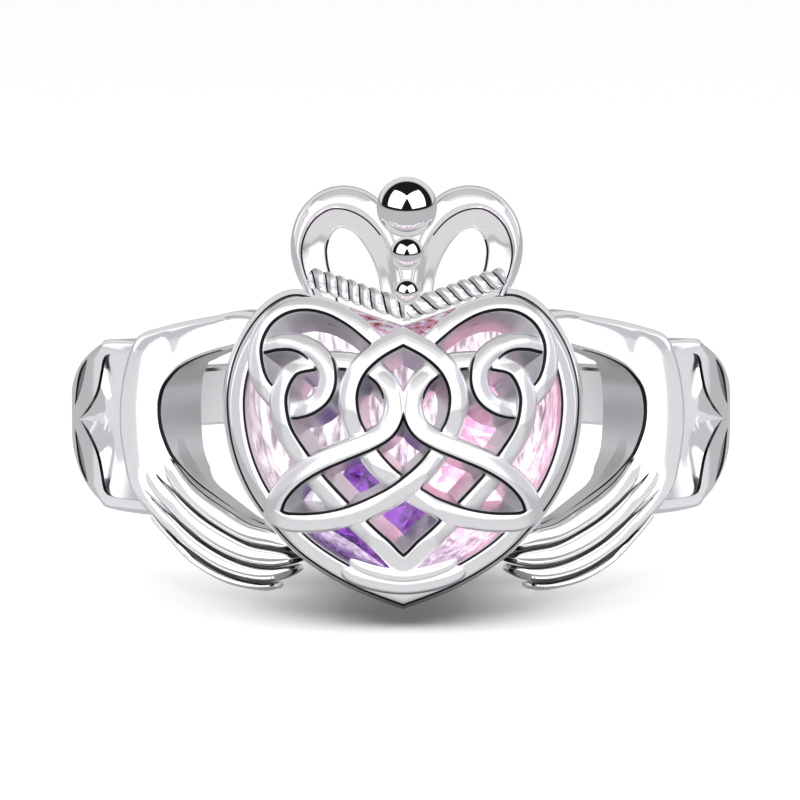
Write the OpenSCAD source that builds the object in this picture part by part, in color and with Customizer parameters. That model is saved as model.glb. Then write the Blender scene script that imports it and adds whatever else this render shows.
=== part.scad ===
// Claddagh ring: two hands hold a crowned heart, a hollow cage with a pierced knot over it.
// The ring lies on its side as it would by itself. Its own frame, in which all pieces are
// drawn, has the finger's axis as Z, the heart towards -Y and the crown upwards.

/* [Band] */
// Radius of the finger hole
bore_r = 8.65; // [7.6:0.05:10.2]
// Wall of the band
band_wall = 1.5; // [1.2:0.1:2]
// Width of the plain band at the back
band_w = 1.8; // [1.4:0.1:2.6]
// Width of the band at its leaf shoulders
shoulder_w = 5.2; // [4.6:0.1:5.8]
// Angle from the front at which the band ends inside the cuffs
band_end = 45; // [44:0.5:47]

/* [Leaf shoulders] */
// Angle from the front at which the two leaves cross
leaf_cross = 75.6; // [73:0.2:78]
// Depth of the field between the leaves
field_depth = 0.5; // [0.2:0.05:0.7]
// Length of the slot through each leaf
slot_l = 2.3; // [1.6:0.1:2.6]
// Width of the slot through each leaf
slot_w = 0.45; // [0.3:0.05:0.6]
// Height of the opening beside each cuff
eye_h = 2.7; // [2:0.1:3.2]
// Width of the opening beside each cuff
eye_w = 1.1; // [0.7:0.05:1.4]

/* [Hands] */
// Angle from the front that the cuffs reach
cuff_reach = 54.4; // [53:0.1:56]
// Height of a hand from its lowest finger to its thumb
hand_h = 8.4; // [7.8:0.1:9]
// How far the fingers reach below the middle of the band
finger_drop = 4.62; // [4.3:0.02:4.9]
// How far a cuff stands out from the finger hole
cuff_rise = 2.15; // [1.9:0.05:2.5]
// How much further the finger tips stand out
tip_rise = 1.3; // [0.9:0.05:1.7]
// Thickness of the fingers and the thumb
finger_t = 1.35; // [1.1:0.05:1.7]
// Width of the groove between two fingers
groove_w = 0.08; // [0.04:0.01:0.14]

/* [Heart] */
// Width of the heart
heart_w = 10.7; // [10:0.1:11.2]
// Height of the heart
heart_h = 9.4; // [8.8:0.1:10]
// How far the heart's tip is below the middle of the band
heart_drop = 4.87; // [4.6:0.01:5.1]
// How far the knot stands out from the finger hole
head_depth = 5.65; // [5.2:0.05:6.2]
// Radius of the domed front
dome_r = 9.9; // [9:0.1:11]
// How far the dome's middle is below the middle of the band
dome_drop = 0.9; // [0.4:0.1:1.4]
// Wall of the heart
heart_wall = 0.7; // [0.5:0.05:0.9]
// How much smaller the heart is at its back, all round
heart_taper = 0.8; // [0.6:0.05:1]
// Plate behind the stones
back_wall = 0.55; // [0.4:0.05:0.8]

/* [Knot] */
// Width of a strand
strand_w = 0.68; // [0.55:0.01:0.76]
// Depth of a strand
strand_d = 1.15; // [0.9:0.05:1.3]
// How far the knot stands out from the heart's rim
knot_rise = 0.45; // [0.3:0.05:0.6]
// How far a strand dips where another passes over it
weave_dip = 0.3; // [0.1:0.05:0.4]

/* [Crown] */
// Width of the crown
crown_w = 6.9; // [6:0.1:7.6]
// Height of the crown above the heart's cleft
crown_h = 4.4; // [4:0.1:4.8]
// Depth of the crown's straps
strap_d = 1.2; // [0.9:0.05:1.4]
// How far the crown stands to the right of the heart's middle
crown_aside = 0.12; // [-0.2:0.02:0.2]
// Radius of the large bead
bead_large = 0.87; // [0.7:0.01:1]
// Radius of the middle bead
bead_middle = 0.49; // [0.4:0.01:0.6]
// Radius of the small bead
bead_small = 0.36; // [0.28:0.01:0.45]
// Radius of the twisted rope
rope_r = 0.34; // [0.28:0.01:0.4]
// Number of turns of wire that show along the rope
rope_lobes = 17; // [13:1:21]

/* [Stones] */
// Side of the purple stone
purple_side = 3; // [2.8:0.1:3.2]
// Side of a pink stone
pink_side = 2.5; // [2:0.1:2.7]

/* [Hidden] */
$fn = 96;

silver = [0.86, 0.86, 0.89];
bright = [0.92, 0.91, 0.96];
purple = [0.32, 0.12, 0.62];
pink = [0.93, 0.55, 0.72];

// Space between two castings, filled by solder on the real ring.
seam = 0.03;
band_r = bore_r + band_wall;
cuff_r = bore_r + cuff_rise;
// Front of the crown, between the finger hole and the front of the knot
crown_y = -(bore_r + 0.416 * head_depth);
rim_r = dome_r - knot_rise;
dome_center = [0, -(bore_r + head_depth) + dome_r, -dome_drop];
// Plane at which the heart's walls start, inside the finger hole's rim
heart_back = -(bore_r - 1.5 * heart_wall);
heart_floor = -(bore_r + back_wall);
rim_edge = heart_wall / 2;
// How far a strand's end runs into the strand that it meets
run_in = 0.05;

function unit(v) = v / norm(v);
function drop_last(list) = [for (i = [0:len(list) - 2]) list[i]];
function reversed(list) = [for (i = [len(list) - 1:-1:0]) list[i]];

// One point of a smooth curve through rows, a share t of the way from row i to the next.
function curve_point(rows, i, t) =
    let (
        a = rows[max(i - 1, 0)],
        b = rows[i],
        c = rows[i + 1],
        d = rows[min(i + 2, len(rows) - 1)]
    )
    0.5 * (2 * b + (c - a) * t + (2 * a - 5 * b + 4 * c - d) * t * t
           + (3 * b - a - 3 * c + d) * t * t * t);

function smooth(rows, steps) = concat(
    [for (i = [0:len(rows) - 2]) for (k = [0:steps - 1]) curve_point(rows, i, k / steps)],
    [rows[len(rows) - 1]]
);

// A closed solid through rings of equally many points.
module skin(rings) {
    n = len(rings[0]);
    m = len(rings);
    polyhedron(
        points = [for (ring = rings) for (p = ring) p],
        faces = concat(
            [[for (i = [0:n - 1]) i]],
            [for (j = [0:m - 2]) for (i = [0:n - 1])
                [j * n + i, (j + 1) * n + i, (j + 1) * n + (i + 1) % n, j * n + (i + 1) % n]],
            [[for (i = [n - 1:-1:0]) (m - 1) * n + i]]
        ),
        convexity = 8
    );
}

module at_rest() {
    translate([0, rest_back, rest_lift])
        rotate([-rest_tilt, 0, 0])
            children();
}

module both_sides() {
    children();
    mirror([1, 0, 0]) children();
}

// A point on the left of the ring, by its angle from the front, height and radius.
function on_ring(angle, z, r) = [-r * sin(angle), -r * cos(angle), z];

// Half the heart's outline, from the tip up to the cleft.
// Columns: across as a share of half its width, up as a share of its height.
HEART_SIDE = [
    [0, 0],
    [0.30, 0.069],
    [0.56, 0.160],
    [0.74, 0.262],
    [0.88, 0.375],
    [0.97, 0.510],
    [1.00, 0.660],
    [0.955, 0.795],
    [0.85, 0.905],
    [0.72, 0.975],
    [0.58, 1.000],
    [0.40, 0.972],
    [0.22, 0.935],
    [0, 0.895]
];
heart_half = [for (p = smooth(HEART_SIDE, 2)) [p[0] * heart_w / 2, p[1] * heart_h - heart_drop]];
heart_full = concat(
    drop_last(heart_half),
    [for (i = [len(heart_half) - 1:-1:1]) [-heart_half[i][0], heart_half[i][1]]]
);

// The heart's outline moved inwards by inset.
function heart_outline(inset) =
    let (n = len(heart_full))
    [for (i = [0:n - 1])
        let (d = unit(heart_full[(i + 1) % n] - heart_full[(i + n - 1) % n]))
        heart_full[i] - inset * [d[1], -d[0]]];

function dome_y(x, z, r) = dome_center[1] - sqrt(r * r - x * x - pow(z - dome_center[2], 2));
function ring_on_dome(inset, r) = [for (p = heart_outline(inset)) [p[0], dome_y(p[0], p[1], r), p[1]]];
function ring_on_plane(inset, y) = [for (p = heart_outline(inset)) [p[0], y, p[1]]];

// The walls of the heart with their rounded rim, thicker by grow on all sides.
module heart_walls(grow) {
    edge = rim_edge;
    skin([
        ring_on_plane(heart_taper - grow, heart_back),
        ring_on_dome(-grow, rim_r - edge + grow),
        ring_on_dome(edge * 0.25 - grow, rim_r - edge * 0.3 + grow),
        ring_on_dome(edge * 0.75 - grow, rim_r + grow),
        ring_on_dome(heart_wall - edge * 0.3 + grow, rim_r + grow),
        ring_on_dome(heart_wall + grow, rim_r - edge * 0.4 + grow),
        ring_on_plane(heart_wall + heart_taper * 0.5 + grow, heart_floor - grow)
    ]);
}

// All that the heart and its front take up, for cutting what is set against it.
module heart_block(grow) {
    skin([
        ring_on_plane(heart_taper - grow, heart_back / 2),
        ring_on_plane(heart_taper - grow, heart_back),
        ring_on_dome(-grow, rim_r - rim_edge),
        ring_on_plane(-grow, -(bore_r + 1.5 * head_depth))
    ]);
}

module heart_cage() {
    color(silver)
        at_rest()
            difference() {
                heart_walls(0);
                cylinder(r = bore_r, h = 4 * heart_h, center = true);
            }
}

// Half the width of the band against its place from front to back.
// Columns: place as a share of the band's radius, spread from plain band to full shoulder.
SHOULDER = [
    [-1.1, 1],
    [-0.5, 1],
    [-0.41, 0.9],
    [-0.28, 0.62],
    [-0.15, 0.3],
    [-0.06, 0.1],
    [0.04, 0.02],
    [0.14, 0],
    [1.1, 0]
];

module band_side_view() {
    edge = [for (row = smooth(SHOULDER, 3))
        [row[0] * band_r, band_w / 2 + max(row[1], 0) * (shoulder_w - band_w) / 2]];
    polygon(concat(edge, [for (p = reversed(edge)) [p[0], -p[1]]]));
}

// A slender slot with two round sides, drawn about its middle.
module lens(length, width) {
    r = (length * length + width * width) / (4 * width);
    intersection() {
        translate([0, r - width / 2]) circle(r = r);
        translate([0, width / 2 - r]) circle(r = r);
    }
}

// Places a flat shape on the left of the ring and carries it outwards from radius r.
module through_wall(angle, z, r) {
    rotate([0, 0, -angle])
        translate([0, -r, z])
            rotate([90, 0, 0])
                mirror([1, 0, 0])
                    linear_extrude(height = 3 * band_wall)
                        children();
}

// The leaf's inner edge from the crossing to the cuff.
// Columns: along the band as a share of the reach from cuff to crossing, across as a share of
// half the shoulder's width.
LEAF_EDGE = [[1, 0], [0.5, 0.19], [0.2, 0.37], [0.05, 0.58], [-0.05, 0.76],
             [-0.25, 0.83], [-0.7, 0.84], [-1.1, 0.84]];

// Angles from the front of the leaf's middle and of the opening beside the cuff.
leaf_middle = leaf_cross - 11.6;
eye_middle = cuff_reach + 3.8;
slot_turn = 41;

// The field between the two leaves, drawn with the crossing to the right.
module leaf_field() {
    reach = band_r * sin(leaf_cross - leaf_middle);
    side = shoulder_w / 2;
    edge = [for (row = smooth(LEAF_EDGE, 2)) [row[0] * reach, row[1] * side]];
    polygon(concat(edge, [for (p = drop_last(reversed(edge))) [p[0], -p[1]]]));
}

module shoulder_cuts() {
    inside = bore_r - band_wall / 2;
    through_wall(leaf_middle, 0, band_r - field_depth) leaf_field();
    through_wall(eye_middle, 0.07 * eye_h, inside) rotate([0, 0, 90]) lens(eye_h, eye_w);
    for (side = [-1, 1])
        through_wall(leaf_cross + 0.2, side * 0.217 * shoulder_w, inside)
            rotate([0, 0, -slot_turn * side])
                lens(slot_l, slot_w);
}

module band() {
    reach = 2 * band_r;
    color(silver)
        at_rest()
            difference() {
                intersection() {
                    cylinder(r = band_r, h = shoulder_w, center = true);
                    rotate([90, 0, 90])
                        linear_extrude(height = 3 * band_r, center = true)
                            band_side_view();
                }
                cylinder(r = bore_r, h = 2 * shoulder_w, center = true);
                linear_extrude(height = 2 * shoulder_w, center = true)
                    polygon([[0, 0], [-reach * sin(band_end), -reach * cos(band_end)],
                             [reach * sin(band_end), -reach * cos(band_end)]]);
                both_sides() shoulder_cuts();
            }
}

// The left hand as one sweep from the thumb's tip over the palm to the finger tips.
// Columns: outer edge and inner edge, each as its angle from the front, a share of
// cuff_reach, and its height, a share of hand_h.
HAND = [
    [0.430, 0.995, 0.445, 0.890],
    [0.507, 0.999, 0.512, 0.868],
    [0.592, 0.978, 0.587, 0.843],
    [0.700, 0.956, 0.655, 0.814],
    [0.817, 0.926, 0.719, 0.776],
    [0.920, 0.882, 0.769, 0.721],
    [0.982, 0.733, 0.788, 0.666],
    [1.000, 0.587, 0.790, 0.605],
    [0.985, 0.465, 0.775, 0.557],
    [0.935, 0.313, 0.737, 0.496],
    [0.829, 0.203, 0.682, 0.441],
    [0.685, 0.094, 0.618, 0.392],
    [0.555, 0.027, 0.540, 0.340],
    [0.447, 0.004, 0.454, 0.276],
    [0.369, 0.010, 0.372, 0.231],
    [0.300, 0.060, 0.312, 0.195],
    [0.262, 0.105, 0.272, 0.185]
];

// Columns: share of the way from the outer to the inner edge where the finger begins and
// ends, row of the hand at which it starts and row at its tip.
FINGERS = [
    [0.02, 0.22, 9, 14],
    [0.22, 0.46, 8.5, 15],
    [0.46, 0.73, 8, 15.5],
    [0.73, 0.99, 7.5, 15]
];

function hand_r(angle) = cuff_r + tip_rise * max(0, 1 - angle / (cuff_reach * 0.75));
function across(row, u) = [
    cuff_reach * (row[0] + (row[2] - row[0]) * u),
    hand_h * (row[1] + (row[3] - row[1]) * u) - finger_drop
];

// The ring rests on the lowest edge of both hands and on the back of the band.
REST_ROW = HAND[13];
rest_angle = cuff_reach * REST_ROW[0];
rest_front_y = -(hand_r(rest_angle) - finger_t) * cos(rest_angle);
rest_front_z = hand_h * REST_ROW[1] - finger_drop;
rest_tilt = atan((-rest_front_z - band_w / 2) / (band_r - rest_front_y));
rest_lift = band_r * sin(rest_tilt) + band_w / 2 * cos(rest_tilt);
rest_back = (dome_r - dome_center[1] * cos(rest_tilt) - dome_center[2] * sin(rest_tilt)
             - band_r * cos(rest_tilt) - band_w / 2 * sin(rest_tilt)) / 2;

// Columns: place from the outer to the inner edge, how far the surface is below the crown of
// the hand as a share of the fingers' thickness.
HAND_ROUNDING = [[0, 0.37], [0.06, 0.185], [0.16, 0.06], [0.35, 0], [0.7, 0], [0.9, 0.05], [1, 0.16]];
// Shares of the way from the thumb's tip to the finger tips.
THUMB_ROOT = [0.23, 0.35];
KNUCKLES = [0.6, 0.74];
PALM_END = 0.96;

function hand_ring(row, sunk, hollow) = concat(
    [for (step = HAND_ROUNDING)
        let (p = across(row, step[0]))
        on_ring(p[0], p[1], hand_r(p[0]) - (step[1] + sunk) * finger_t)],
    [for (u = [1, 0])
        let (
            p = across(row, u),
            inner = bore_r - finger_t * 0.45,
            r = (hand_r(p[0]) - finger_t) * hollow + inner * (1 - hollow),
            lean = u * (1 - hollow) * max(0, band_end - p[0])
        )
        on_ring(p[0] + lean, p[1], r)]
);

module palm() {
    rows = smooth(HAND, 2);
    last = len(rows) - 5;
    skin([for (i = [0:last])
        let (
            s = i / last,
            finger = max(0, min(1, (s - KNUCKLES[0]) / (KNUCKLES[1] - KNUCKLES[0]))),
            thumb = max(0, min(1, (THUMB_ROOT[1] - s) / (THUMB_ROOT[1] - THUMB_ROOT[0]))),
            end = s > PALM_END ? 0.22 : 0
        )
        reversed(hand_ring(rows[i], 0.12 * finger + end, max(finger, thumb)))]);
}

module finger(place) {
    rows = smooth(HAND, 2);
    u = (place[0] + place[1]) / 2;
    for (i = [2 * place[2]:2 * place[3] - 1])
        hull()
            for (row = [rows[i], rows[i + 1]]) {
                p = across(row, u);
                a = across(row, place[0]);
                b = across(row, place[1]);
                w = norm([(a[0] - b[0]) * PI / 180 * cuff_r, a[1] - b[1]]) - groove_w;
                translate(on_ring(p[0], p[1], hand_r(p[0]) - w / 2))
                    rotate([0, 0, -p[0]])
                        sphere(d = w, $fn = 8);
            }
}

module hand() {
    difference() {
        union() {
            palm();
            for (place = FINGERS) finger(place);
        }
        cylinder(r = bore_r + seam, h = 4 * hand_h, center = true, $fn = 200);
        intersection() {
            cylinder(r = band_r + seam, h = 4 * hand_h, center = true, $fn = 200);
            rotate([0, 0, -band_end])
                translate([-3 * band_r, -3 * band_r, -2 * hand_h])
                    cube([3 * band_r + seam, 3 * band_r, 4 * hand_h]);
        }
        heart_block(seam);
    }
}

module left_hand() {
    color(silver) at_rest() hand();
}

module right_hand() {
    color(silver) at_rest() mirror([1, 0, 0]) hand();
}

// The knot's strands, those on the left; all but the inner heart are drawn mirrored as well.
// Columns: across as a share of half the heart's width, up as a share of its height, weave:
// 1 where the strand passes over another and -1 where it passes under.
// From the inner heart's point by its left side round the left lobe.
INNER_HEART = [
    [0.000, 0.151, 0],
    [-0.130, 0.212, 0],
    [-0.248, 0.268, -0.6],
    [-0.385, 0.340, -1],
    [-0.512, 0.419, -1],
    [-0.594, 0.485, -1],
    [-0.672, 0.570, -0.2],
    [-0.698, 0.652, 0.6],
    [-0.684, 0.710, 0.6],
    [-0.636, 0.763, 0],
    [-0.552, 0.795, -0.8],
    [-0.440, 0.808, -1],
    [-0.320, 0.806, -1]
];

// From there by the middle and down to the knot's left corner.
KNOT_LOOP = [
    [-0.440, 0.808, -1],
    [-0.320, 0.806, -1],
    [-0.209, 0.791, -1],
    [-0.112, 0.750, -0.4],
    [-0.058, 0.696, 0],
    [-0.054, 0.637, 0],
    [-0.095, 0.586, 0.4],
    [-0.182, 0.552, 0.9],
    [-0.325, 0.517, 0.9],
    [-0.473, 0.479, 0.9],
    [-0.605, 0.430, 0.7],
    [-0.695, 0.372, 0.3],
    [-0.735, 0.310, 0]
];

// From the corner across the foot and up over the right side to the top.
KNOT_ARCH = [
    [-0.735, 0.310, 0.1],
    [-0.670, 0.285, 0.2],
    [-0.572, 0.280, 0.4],
    [-0.435, 0.287, 0.8],
    [-0.286, 0.308, 0.8],
    [-0.135, 0.345, 0.5],
    [0.000, 0.392, 0.3],
    [0.143, 0.463, -0.4],
    [0.253, 0.550, -1],
    [0.303, 0.627, -0.2],
    [0.308, 0.700, 0.4],
    [0.255, 0.770, 0.9],
    [0.145, 0.828, 0.9],
    [-0.004, 0.873, 0.8]
];

// The scroll, from under the knot's top round the heart's lobe.
SCROLL = [
    [-0.080, 0.834, -0.9],
    [-0.176, 0.880, -0.4],
    [-0.286, 0.925, 0],
    [-0.407, 0.958, 0.2],
    [-0.539, 0.970, 0.2],
    [-0.666, 0.954, 0.2],
    [-0.768, 0.910, 0.2],
    [-0.826, 0.845, 0.2],
    [-0.828, 0.778, 0.2],
    [-0.795, 0.715, -0.2],
    [-0.726, 0.666, -1],
    [-0.638, 0.644, -0.6]
];

// The scroll's curled end.
CURL = [
    [-0.726, 0.666, -1],
    [-0.638, 0.644, -0.6],
    [-0.545, 0.650, 0],
    [-0.462, 0.680, 0.3],
    [-0.425, 0.728, 0.6],
    [-0.440, 0.782, 0.9],
    [-0.500, 0.826, 0.9],
    [-0.589, 0.850, 0.5],
    [-0.690, 0.852, 0],
    [-0.790, 0.842, -0.3]
];

// The lip at the heart's foot, half of it. Its third column is its width as a share.
LIP = [
    [0, 0.088, 1],
    [-0.160, 0.100, 1],
    [-0.290, 0.124, 0.85],
    [-0.335, 0.146, 0.45]
];

// A strand's outline, from the left side round the front to the right side.
// Columns: across as a share of its width, depth as a share of its depth.
STRAND = [[-0.5, -1], [-0.5, -0.2], [-0.36, -0.05], [-0.14, 0], [0.14, 0], [0.36, -0.05], [0.5, -0.2], [0.5, -1]];

function with_mirror_image(rows) = concat(
    [for (i = [len(rows) - 1:-1:1]) [-rows[i][0], rows[i][1], rows[i][2]]],
    rows
);

function weave_rise(weave) = weave_dip * (weave > 0 ? 0.3 * weave : weave);
function knot_point(row) =
    let (
        x = row[0] * heart_w / 2,
        z = row[1] * heart_h - heart_drop,
        out = unit([x, dome_y(x, z, dome_r), z] - dome_center)
    )
    dome_center + (dome_r + weave_rise(row[2])) * out;

// The strand's section at point i, turned to the normal or else to the way the path runs.
function strand_ring(points, i, width, normal) =
    let (
        last = len(points) - 1,
        before = unit(points[max(i, 1)] - points[max(i, 1) - 1]),
        after = unit(points[min(i, last - 1) + 1] - points[min(i, last - 1)]),
        along = is_undef(normal) ? unit(before + after) : normal,
        out = unit(points[i] - dome_center),
        side = unit(cross(along, out)) / max(0.5, along * before)
    )
    [for (s = STRAND) points[i] + s[0] * width * side + s[1] * strand_d * out];

// A ring moved by a shift and made smaller, to end inside another strand.
function buried(ring, shift) =
    let (middle = (ring[0] + ring[3] + ring[4] + ring[7]) / 4)
    [for (p = ring) middle + 0.8 * (p - middle) + shift];

// A strand along rows, its width going from w to w_end. Each end either runs into another
// strand or is cut to a mitre whose normal is given.
module strand(rows, w, w_end, start_mitre, end_mitre) {
    points = [for (row = rows) knot_point(row)];
    last = len(points) - 1;
    ahead = run_in * unit(points[last] - points[last - 1]);
    back = run_in * unit(points[0] - points[1]);
    rings = [for (i = [0:last])
        strand_ring(points, i, w + (w_end - w) * i / last,
                    i == 0 ? start_mitre : i == last ? end_mitre : undef)];
    skin(concat([buried(rings[0], back)], rings, [buried(rings[last], ahead)]));
}

module lip() {
    rows = smooth(with_mirror_image(LIP), 2);
    for (i = [0:len(rows) - 2])
        hull()
            for (row = [rows[i], rows[i + 1]])
                translate(knot_point([row[0], row[1], -0.2]) + [0, row[2] * strand_w / 2, 0])
                    sphere(d = row[2] * strand_w, $fn = 12);
}

module knot_strands() {
    down = knot_point(KNOT_LOOP[len(KNOT_LOOP) - 1]) - knot_point(KNOT_LOOP[len(KNOT_LOOP) - 2]);
    across = knot_point(KNOT_ARCH[1]) - knot_point(KNOT_ARCH[0]);
    corner = unit(unit(down) + unit(across));
    strand(smooth(with_mirror_image(INNER_HEART), 2), strand_w, strand_w);
    lip();
    both_sides() {
        strand(smooth(KNOT_LOOP, 2), strand_w, strand_w, undef, corner);
        strand(smooth(KNOT_ARCH, 2), strand_w * 1.03, strand_w * 1.03, corner, [-1, 0, 0]);
        strand(smooth(SCROLL, 2), strand_w * 0.8, strand_w * 0.95);
        strand(smooth(CURL, 2), strand_w * 0.96, strand_w);
    }
}

module knot_lattice() {
    color(bright)
        at_rest()
            difference() {
                knot_strands();
                heart_walls(seam);
            }
}

// Half a loop of the crown, from its foot at the rope over the top and down the stem.
// Columns: across as a share of half the crown's width, up as a share of its height, the
// strap's width as a share of its depth.
LOOP = [
    [0.70, 0.08, 0.58],
    [0.755, 0.22, 0.67],
    [0.83, 0.37, 0.77],
    [0.855, 0.52, 0.83],
    [0.80, 0.67, 0.875],
    [0.67, 0.77, 0.90],
    [0.52, 0.79, 0.93],
    [0.38, 0.75, 0.93],
    [0.27, 0.66, 0.875],
    [0.18, 0.52, 0.77],
    [0.12, 0.34, 0.63],
    [0.09, 0.10, 0.58]
];
cleft_z = HEART_SIDE[len(HEART_SIDE) - 1][1] * heart_h - heart_drop;

// A strap's outline. Columns: across as a share of its width, depth as a share of strap_d.
STRAP = [[-0.5, -0.75], [-0.5, -0.3], [-0.42, -0.1], [-0.15, 0], [0.3, -0.05], [0.5, -0.25], [0.5, -0.75], [0.3, -1], [-0.3, -1]];

module crown_loop() {
    rows = smooth(LOOP, 2);
    points = [for (row = rows) [-row[0] * crown_w / 2, crown_y - strap_d / 2, cleft_z + row[1] * crown_h]];
    last = len(points) - 1;
    skin([for (i = [0:last])
        let (
            along = unit(points[min(i + 1, last)] - points[max(i - 1, 0)]),
            side = cross(along, [0, -1, 0])
        )
        [for (s = STRAP) points[i] + strap_d * (s[0] * rows[i][2] * side + s[1] * [0, -1, 0])]]);
}

// The rope follows the heart's cleft from lobe to lobe. Two wires are twisted together.
function rope_path() =
    let (
        edge = heart_outline(-(rope_r + seam)),
        reach = 0.57 * heart_w / 2
    )
    [for (p = edge) if (p[1] > 0 && abs(p[0]) < reach) p];
function rope_point(path, t) =
    let (k = t * (len(path) - 1), i = min(floor(k), len(path) - 2))
    curve_point(path, i, k - i);

module rope() {
    path = rope_path();
    turns = rope_lobes / 2;
    steps = rope_lobes * 4;
    sides = 8;
    skin([for (j = [0:steps])
        let (
            p = rope_point(path, j / steps),
            q = rope_point(path, min(1, (j + 0.5) / steps)) - rope_point(path, max(0, (j - 0.5) / steps)),
            side = unit([-q[1], 0, q[0]]),
            small = j == 0 || j == steps ? 0.6 : 1
        )
        [for (k = [0:sides - 1])
            let (
                a = 360 * k / sides,
                r = rope_r * small * (0.74 + 0.26 * abs(cos(a - 360 * turns * j / steps)))
            )
            [p[0], crown_y - rope_r, p[1]] + r * (cos(a) * side + sin(a) * [0, -1, 0])]]);
}

// Columns: radius, height of the middle above the cleft as a share of the crown's height, how
// far it stands forward of the crown as a share of the straps' depth.
BEADS = [
    [bead_large, 1 - bead_large / crown_h, 0.21],
    [bead_middle, 0.475, 0.46],
    [bead_small, 0.245, 0.50]
];

// The plate between the loops, under the beads.
// Columns: up as a share of the crown's height, half its width as a share of the straps' depth.
STEM = [[0.62, 0.5], [0.4, 0.42], [0.1, 0.3]];

module stem() {
    hull()
        for (level = STEM)
            translate([0, crown_y + strap_d * 0.35, cleft_z + level[0] * crown_h])
                rotate([90, 0, 0])
                    cylinder(r = level[1] * strap_d, h = strap_d * 0.75, $fn = 12);
}

module crown() {
    color(silver)
        at_rest()
            difference() {
                translate([crown_aside, 0, 0]) {
                    both_sides() crown_loop();
                    stem();
                    for (bead = BEADS)
                        translate([0, crown_y - bead[2] * strap_d, cleft_z + bead[1] * crown_h])
                            sphere(r = bead[0], $fn = 14);
                    rope();
                }
                heart_block(seam);
            }
}

// A square stone with a flat table, cut corners and a pointed back.
// Columns: side as a share of the stone's side, height as a share of it.
CUT = [[0.62, 0.20], [0.98, 0.03], [0.98, -0.03], [0.50, -0.36], [0.02, -0.52]];

module cut_stone(side) {
    hull()
        for (level = CUT)
            translate([0, 0, level[1] * side])
                linear_extrude(height = 0.001)
                    square(level[0] * side, center = true);
}

// Places a stone in the heart. Its place is across as a share of half the heart's width, forward
// of the floor as a share of the cage's depth, and up as a share of the heart's height.
module loose_stone(place, turn, side) {
    depth = head_depth - back_wall;
    at_rest()
        translate([
            place[0] * heart_w / 2,
            heart_floor - place[1] * depth,
            place[2] * heart_h - heart_drop
        ])
            rotate([90, 0, 0])
                rotate(turn)
                    cut_stone(side);
}

module purple_stone() {
    color(purple) loose_stone([-0.140, 0.412, 0.311], [-30, 0, -34], purple_side);
}

module pink_stone_a() {
    color(pink) loose_stone([0.327, 0.529, 0.390], [-10, 12, -48], pink_side);
}

module pink_stone_b() {
    color(pink) loose_stone([0.458, 0.265, 0.598], [12, 8, -20], pink_side);
}

band();
left_hand();
right_hand();
heart_cage();
knot_lattice();
crown();
purple_stone();
pink_stone_a();
pink_stone_b();
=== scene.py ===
"""Claddagh ring in polished silver: two hands hold a crowned heart, a cage with loose stones
under a pierced knot. Every piece is modelled here in the ring's own frame, in millimetres, with
the finger's axis as Z and the heart towards -Y, and is then laid down at rest, in metres."""

import math

import bmesh
import bpy
from mathutils import Matrix, Vector

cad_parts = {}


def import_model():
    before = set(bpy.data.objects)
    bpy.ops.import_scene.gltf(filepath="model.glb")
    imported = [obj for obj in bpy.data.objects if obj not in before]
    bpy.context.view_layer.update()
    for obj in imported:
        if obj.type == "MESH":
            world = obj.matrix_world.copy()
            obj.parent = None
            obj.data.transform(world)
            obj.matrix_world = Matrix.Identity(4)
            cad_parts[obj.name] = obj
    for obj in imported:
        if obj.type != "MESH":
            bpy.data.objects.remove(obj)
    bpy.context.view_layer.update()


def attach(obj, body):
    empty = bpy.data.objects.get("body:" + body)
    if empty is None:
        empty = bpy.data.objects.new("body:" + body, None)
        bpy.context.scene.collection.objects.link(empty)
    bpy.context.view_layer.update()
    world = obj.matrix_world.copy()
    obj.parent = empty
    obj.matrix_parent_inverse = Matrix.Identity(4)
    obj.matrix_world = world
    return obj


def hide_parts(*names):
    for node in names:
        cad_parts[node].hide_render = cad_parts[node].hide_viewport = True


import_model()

# Sizes of the ring, in millimetres and degrees, as the castings have them.
# The band, its leaf shoulders and their openings
BORE_R = 8.65
BAND_WALL = 1.5
BAND_W = 1.8
SHOULDER_W = 5.2
BAND_END = 45
BAND_R = BORE_R + BAND_WALL
LEAF_CROSS = 75.6
LEAF_MIDDLE = LEAF_CROSS - 11.6
FIELD_DEPTH = 0.5
SLOT_L = 2.3
SLOT_W = 0.45
EYE_H = 2.7
EYE_W = 1.1
SLOT_TURN = 41
# The hands
CUFF_REACH = 54.4
EYE_MIDDLE = CUFF_REACH + 3.8
HAND_H = 8.4
FINGER_DROP = 4.62
CUFF_R = BORE_R + 2.15
TIP_RISE = 1.3
FINGER_T = 1.35
# The heart and the dome over it
HEART_W = 10.7
HEART_H = 9.4
HEART_DROP = 4.87
HEAD_DEPTH = 5.65
DOME_R = 9.9
DOME_DROP = 0.9
HEART_WALL = 0.7
HEART_TAPER = 0.8
BACK_WALL = 0.55
# The knot
STRAND_W = 0.68
STRAND_D = 1.15
KNOT_RISE = 0.45
WEAVE_DIP = 0.3
RUN_IN = 0.05
# The crown
CROWN_W = 6.9
CROWN_H = 4.4
STRAP_D = 1.2
CROWN_ASIDE = 0.12
ROPE_R = 0.34
ROPE_LOBES = 17
# The stones
PURPLE_SIDE = 3.0
PINK_SIDE = 2.5
# Space between two castings
SEAM = 0.03
# Narrowest width that a pointed shape is given at its point
POINT_W = 0.004
# Length and number of sides of the round cutter for the finger hole
CUTTER_L = 60
CUTTER_SIDES = 256
# Metres in a millimetre
MM = 0.001

# Front of the crown, between the finger hole and the front of the knot
CROWN_Y = -(BORE_R + 0.416 * HEAD_DEPTH)
RIM_R = DOME_R - KNOT_RISE
DOME_CENTER = Vector((0, -(BORE_R + HEAD_DEPTH) + DOME_R, -DOME_DROP))
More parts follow.
